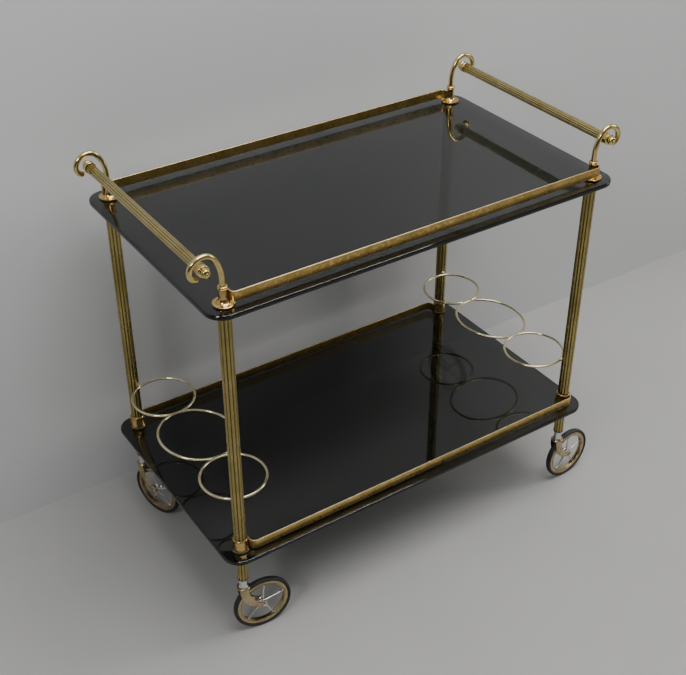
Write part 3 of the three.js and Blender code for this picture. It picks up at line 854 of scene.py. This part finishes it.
# ---------------------------------------------------------------- handles
# (radius, distance outward from the leg's middle plane), mm
FINIAL = [(0, -1), (HANDLE_RADIUS / MM + 0.3, -1), (HANDLE_RADIUS / MM + 0.3, -8),
          (8.9, -8), (9.2, -7.6), (9.2, -6.4), (8.7, -5.9), (8.7, -1.6), (9.2, -1.0),
          (9.2, 1.6), (8.9, 2.4), (8.2, 3.0), (6.6, 3.2), (5.5, 3.4), (5.4, 3.9), *eased(
              [(5.9, 4.5), (6.6, 5.6), (6.9, 7.3), (6.6, 9.0), (5.6, 10.5), (4.2, 11.3)]),
          (3.0, 11.5), (2.6, 11.8), (2.6, 12.6), (2.2, 13.4), (1.2, 13.9), (0, 14)]
for side, sx in SIDES.items():
    low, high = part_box(f"handle_bar_{side}")
    x, z = (low.x + high.x) / 2, (low.z + high.z) / 2
    bar = grown(f"reeded_handle_{side}", REEDED_TUBE, {
        "Length": high.y - low.y, "Radius": HANDLE_RADIUS, "Bore": HANDLE_BORE,
        "Reed Depth": HANDLE_REED_DEPTH, "Reeds": HANDLE_REEDS, "Material": HANDLE_BRASS},
        place=Matrix.Translation((x, high.y, z)) @ Matrix.Rotation(math.pi / 2, 4, "X"))
    finish(bar, HANDLE_BRASS, "frame", "satin_brass", f"handle_bar_{side}", crease=50)
    for end_name, corner, turn in (("front", "fl", 90), ("back", "bl", -90)):
        place = at((x, LEG[corner].y, z)) @ Matrix.Rotation(math.radians(turn), 4, "X")
        knob = turned(f"finial_{side}_{end_name}", FINIAL, place, 56)
        finish(knob, POLISHED_BRASS, "frame", "polished_brass",
               f"handle_finial_{side}_{end_name}")


# ---------------------------------------------------------------- gallery rails
def swollen_flare(corner, flare, level, gap=0.25):
    profile = [(0, flare[0][1] - 1), (flare[0][0] + gap, flare[0][1] - 1),
               *[(r + gap, z) for r, z in flare], (0, flare[-1][1])]
    return turned("cutter", profile, at((LEG[corner].x, LEG[corner].y, level)), 72)


def gallery_rail(name, node, level, flare, bend, reach):
    """Strip on edge; its far end bends round one leg and stops `reach` past its middle."""
    low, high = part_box(node)
    front = node.endswith("front")
    half = RAIL_THICK / 2
    z = (low.z + high.z) / 2
    if front:
        near_x, far_x, line_y, near_y = low.x + half, high.x - half, low.y + half, high.y
        far_y = LEG["fr"].y + reach
    else:
        near_x, far_x, line_y, near_y = high.x - half, low.x + half, high.y - half, low.y
        far_y = LEG["bl"].y - reach
    path = [(near_x, near_y, z), (near_x, line_y, z), (far_x, line_y, z), (far_x, far_y, z)]
    strip = grown(name, STRIP, {"Thickness": RAIL_THICK, "Height": high.z - low.z,
                                "Bend": bend, "Material": STRIP_BRASS}, path=path)
    corners = ("fl", "fr") if front else ("bl", "br")
    worked(strip, "DIFFERENCE", [swollen_flare(c, flare, level) for c in corners])
    finish(strip, STRIP_BRASS, "frame", "strip_brass", node)


for end_name in ("front", "back"):
    gallery_rail(f"upper_gallery_{end_name}", f"upper_rail_{end_name}", UPPER, UPPER_FLARE,
                 UPPER_RAIL_BEND, UPPER_RAIL_REACH)
    gallery_rail(f"lower_gallery_{end_name}", f"lower_rail_{end_name}", LOWER, LOWER_FLARE,
                 LOWER_RAIL_BEND, LOWER_RAIL_REACH)


# ---------------------------------------------------------------- bottle rings
# (outward from the middle, across, above the flange plane, radius, tilt about X and Y)
RINGS = {"back": (313.8, 118.7, 95.2, 53.5, (0, 0)),
         "middle": (312.2, -3.6, 94.0, 65.5, (3, 6.5)),
         "front": (313.4, -125.6, 92.6, 53.5, (0, 0))}
WIRE = WIRE_RADIUS / MM


def wire_ring(name, centre, radius, tilt):
    lean = Matrix.Rotation(math.radians(tilt[1]), 4, "Y") @ Matrix.Rotation(
        math.radians(tilt[0]), 4, "X")
    circle = [at(centre) @ lean @ Vector((radius * math.cos(a), radius * math.sin(a), 0))
              for a in (math.tau * i / 108 for i in range(108))]
    return grown(name, BENT_BAR, {"Radius": WIRE_RADIUS, "Sides": 18, "Smooth Path": False,
                                  "Material": RING_BRASS}, path=circle, ring=True)


def braze(place, along):
    """A small smooth blob of braze where two wires touch."""
    shape = bmesh.new()
    bmesh.ops.create_icosphere(shape, subdivisions=3, radius=1.0)
    mesh = bpy.data.meshes.new("braze")
    shape.to_mesh(mesh)
    shape.free()
    turn = along.to_track_quat("X", "Z").to_matrix().to_4x4()
    mesh.transform(at(place) @ turn @ Matrix.Diagonal((5.4, 2.9, 2.4, 1)))
    return linked("braze", mesh)


def leg_stud(start, leg):
    """Round stud from a ring to the face of its leg, with a small collar at the leg."""
    away = Vector((leg.x, leg.y, start.z)) - start
    reach = away.length / MM
    face = reach - LEG_RADIUS / MM
    profile = [(0, -1.2), (1.7, -1.0), (1.9, 0.6), (1.9, face - 2.6), (3.4, face - 2.4),
               (3.9, face - 1.8), (3.9, face - 0.8), (3.5, face + 0.2), (0, face + 0.2)]
    turn = away.to_track_quat("Z", "Y").to_matrix().to_4x4()
    return turned("stud", profile, at(start) @ turn, 28)


for side, sx in SIDES.items():
    node = f"bottle_rack_{side}"
    shapes, centre = [], {}
    for row, (out, across, up, radius, tilt) in RINGS.items():
        centre[row] = Vector((MID_X + sx * out * MM, across * MM, LOWER + up * MM))
        ring = wire_ring(f"bottle_ring_{side}_{row}", centre[row], radius, tilt)
        finish(ring, RING_BRASS, "frame", "polished_brass", node, crease=60)
    for row, sign, corner in (("back", 1, "bl"), ("front", -1, "fl")):
        corner = corner if sx < 0 else corner[0] + "r"
        radius, wide = RINGS[row][3], RINGS["middle"][3]
        touch = Vector((centre["middle"].x, centre["middle"].y + sign * wide * MM, 0))
        touch.y += sign * 1.4 * MM
        touch.z = (centre[row].z + centre["middle"].z + sign * 3.4 * MM) / 2
        shapes.append(braze(touch, Vector((1, 0, 0))))
        away = LEG[corner] - centre[row]
        away.z = 0
        start = centre[row] + away.normalized() * (radius + WIRE - 0.4) * MM
        shapes.append(leg_stud(start, LEG[corner]))
    fixings = joined(f"ring_fixings_{side}", shapes)
    finish(fixings, RING_BRASS, "frame", "polished_brass", node)


# ---------------------------------------------------------------- casters
# In each caster's own frame, mm: pivot on Z, the wheel trailing toward +X.
AXLE = Vector(((middle("caster_axle_fl") - PIVOT["fl"]).xy.length / MM, 0,
               middle("caster_axle_fl").z / MM))

STEM_TOP, CAP_TOP = 120.8, foot_of("leg_stub_fl") / MM - 0.3
CAP = [(3.3, STEM_TOP + 0.1), (8.8, STEM_TOP + 0.1), (9.2, STEM_TOP + 0.5),
       (9.2, CAP_TOP - 0.4), (8.8, CAP_TOP), (3.3, CAP_TOP)]
STEM = [(3.3, 102.2), (7.6, 102.2), (8.2, 102.5), (8.4, 103.2), (8.2, 104.0), (7.8, 104.5),
        *eased([(7.5, 105.2), (7.1, 107.0), (6.9, 109.5), (6.9, 113.5)]), (6.7, 114.0),
        (6.7, 114.6), (6.9, 115.0), (7.0, 118.6), (6.7, 119.2), (6.4, 119.9), (6.4, STEM_TOP),
        (3.3, STEM_TOP)]
PIN = [(0, 100.5), (3.0, 100.5), (3.0, 115.1), (2.4, 115.9), (0, 115.9)]
CROWN = [(0, 98.8), (10.6, 98.8), (11.1, 99.1), (11.3, 99.8), (11.3, 100.6), (11.0, 101.3),
         (10.3, 101.9), (0, 101.9)]
HORN = [(-1.5, 100), (-0.5, 88), (4, 73.5), (11, 63.5), (20.5, 56), (31.6, 52.3),
        (37.5, 52.5)]
HORN_WIDTH = [14.8, 14.8, 14.0, 12.8, 11.5, 8.5, 1.4]
HUB = [(2.8, -6.6), (4.9, -6.6), (5.5, -6.2), (5.8, -5.0), (5.0, -4.1), (4.6, -2.3),
       (4.6, 2.3), (5.0, 4.1), (5.8, 5.0), (5.5, 6.2), (4.9, 6.6), (2.8, 6.6)]
RIM_FACE = [(RIM_INSIDE, 3.0), (RIM_INSIDE + 0.25, 3.8), (RIM_INSIDE + 0.8, 4.2),
            (RIM_INSIDE + 1.4, 3.9), (RIM_INSIDE + 1.9, 3.3), *eased(
                [(40.6, 3.5), (41.8, 3.95), (43.2, 4.2), (44.6, 4.0), (45.6, 3.5)], 3),
            (TREAD_BED, 2.9)]
RIM = [*[(r, -z) for r, z in RIM_FACE], *reversed(RIM_FACE),
       (38.6, 2.6), (39.0, 1.2), (39.1, 0), (39.0, -1.2), (38.6, -2.6)]
TYRE_IN = TREAD_BED + 0.3
TYRE_FACE = [(TYRE_IN, 4.4), (47.2, 4.9), (48.2, 5.2), (48.6, 5.0), (49.0, 5.0),
             (49.9, 4.5), (50.6, 3.4), (50.9, 2.1), (WHEEL_RADIUS, 0.9)]
TYRE = [*[(r, -z) for r, z in TYRE_FACE], *reversed(TYRE_FACE)]


def axle_profile():
    head = FORK_OUTER + 0.2
    dome = [(3.5, head), (3.5, head + 0.4), (3.0, head + 0.9), (1.8, head + 1.4),
            (0, head + 1.6)]
    near = [(r, -z) for r, z in reversed(dome)]
    return [*near, (2.5, -head), (2.5, head), *dome]


def horn_plate(name, place, side):
    """One horn: flat inside, crowned outside, tapering to a thin tip past the axle."""
    line, widths = eased(HORN, 6), eased(list(enumerate(HORN_WIDTH)), 6)
    half_face = [-1.0, -0.96, -0.86, -0.68, -0.42, -0.14, 0.14, 0.42, 0.68, 0.86, 0.96, 1.0]
    thick = FORK_OUTER - FORK_INNER
    points = []
    for i, (x, z) in enumerate(line):
        (x0, z0), (x1, z1) = line[max(0, i - 1)], line[min(len(line) - 1, i + 1)]
        across = Vector((z0 - z1, x1 - x0)).normalized() * widths[i][1] / 2
        for u in half_face:
            crown = FORK_INNER + thick * (0.25 + 0.75 * (1 - abs(u) ** 2.6))
            points.append((x + across.x * u, side * crown, z + across.y * u))
        points += [(x + across.x, side * FORK_INNER, z + across.y),
                   (x - across.x, side * FORK_INNER, z - across.y)]
    n, rows = len(half_face) + 2, len(line)
    faces = [(i * n + k, i * n + (k + 1) % n, (i + 1) * n + (k + 1) % n, (i + 1) * n + k)
             for i in range(rows - 1) for k in range(n)]
    faces += [tuple(range(n)), tuple(range((rows - 1) * n, rows * n))]
    return linked(name, mesh_of(name, points, faces, place))


def across_wheel(radius, start, stop, place):
    return turned("bar", [(0, start), (radius, start), (radius, stop), (0, stop)],
                  place @ Matrix.Translation(AXLE) @ Matrix.Rotation(math.pi / 2, 4, "X"), 32)


def fork_body(name, place):
    """Both horns with their axle eyes, bored for the axle."""
    horns = []
    for side in (-1, 1):
        plate = horn_plate(name, place, side)
        ends = sorted((-side * FORK_INNER, -side * (FORK_OUTER - 0.3)))
        worked(plate, "UNION", [across_wheel(EYE_RADIUS, *ends, place)])
        drill = across_wheel(EYE_BORE, -DRILL_REACH, DRILL_REACH, place)
        horns.append(worked(plate, "DIFFERENCE", [drill]))
    return joined(name, horns)


for c in CORNERS:
    own = at(PIVOT[c]) @ Matrix.Rotation(heading(c), 4, "Z")
    wheel = own @ Matrix.Translation(AXLE) @ Matrix.Rotation(math.pi / 2, 4, "X")
    fork, roller = f"caster_{c}", f"roller_{c}"
    cap = turned(f"caster_cap_{c}", CAP, own, 56, hollow=True)
    finish(cap, WASHER_NYLON, "frame", "black_rubber", f"caster_socket_{c}")
    stem = turned(f"caster_stem_{c}", STEM, own, 56, hollow=True)
    finish(stem, CHROME, "frame", "chrome", f"caster_socket_{c}")
    horns = fork_body(f"caster_horns_{c}", own)
    finish(horns, CASTER_BRASS, fork, "caster_brass", f"caster_fork_{c}", crease=50)
    crown = turned(f"caster_crown_{c}", CROWN, own, 56)
    finish(crown, CASTER_BRASS, fork, "caster_brass", f"caster_fork_{c}")
    pin = turned(f"caster_pin_{c}", PIN, own, 32)
    finish(pin, CHROME, fork, "chrome", f"caster_fork_{c}")
    axle = turned(f"axle_{c}", axle_profile(), wheel, 36)
    finish(axle, CHROME, fork, "chrome", f"caster_axle_{c}")
    rim = turned(f"rim_{c}", RIM, wheel, 96, hollow=True)
    finish(rim, CASTER_BRASS, roller, "caster_brass", f"wheel_{c}")
    hub = turned(f"hub_{c}", HUB, wheel, 48, hollow=True)
    finish(hub, CHROME, roller, "chrome", f"wheel_{c}")
    arms = grown(f"spokes_{c}", SPOKES, {
        "Count": SPOKES_PER_WHEEL, "Inner": 3.8, "Outer": RIM_INSIDE + 1.2, "Waist": 1.3,
        "Hub Flare": 2.0, "Rim Flare": 0.6, "First Angle": math.radians(FIRST_SPOKE[c]),
        "Material": CHROME}, place=wheel)
    finish(arms, CHROME, roller, "chrome", f"wheel_{c}")
    tyre = turned(f"rubber_tyre_{c}", TYRE, wheel, 96, hollow=True)
    finish(tyre, TYRE_RUBBER, roller, "black_rubber", f"tyre_{c}")


# ---------------------------------------------------------------- floor and wall
def room_sheet(name, corners, material):
    mesh = bpy.data.meshes.new(name)
    mesh.from_pydata(corners, [], [(0, 1, 2, 3)])
    mesh.materials.append(material)
    sheet = linked(name, mesh)


floor_paint = room_paint("pale_floor", (0.355, 0.35, 0.337), 1.6, 0.05)
wall_paint = room_paint("pale_wall", (0.57, 0.57, 0.572), 0.9, 0.03)
see_through = wall_paint.node("ShaderNodeBsdfTransparent")
one_sided = wall_paint.node("ShaderNodeMixShader")
wall_paint.feed(one_sided, 0, wall_paint.node("ShaderNodeNewGeometry").outputs["Backfacing"])
wall_paint.feed(one_sided, 1, wall_paint.shader.outputs[0])
wall_paint.feed(one_sided, 2, see_through.outputs[0])
wall_paint.feed(wall_paint.tree.nodes["Material Output"], "Surface", one_sided.outputs[0])
far = ROOM_HALF
room_sheet("floor", [(-far, -far, 0), (far, -far, 0), (far, far, 0), (-far, far, 0)],
           floor_paint.material)
room_sheet("wall", [(-far, WALL_Y, 0), (far, WALL_Y, 0), (far, WALL_Y, WALL_HEIGHT),
                    (-far, WALL_Y, WALL_HEIGHT)], wall_paint.material)
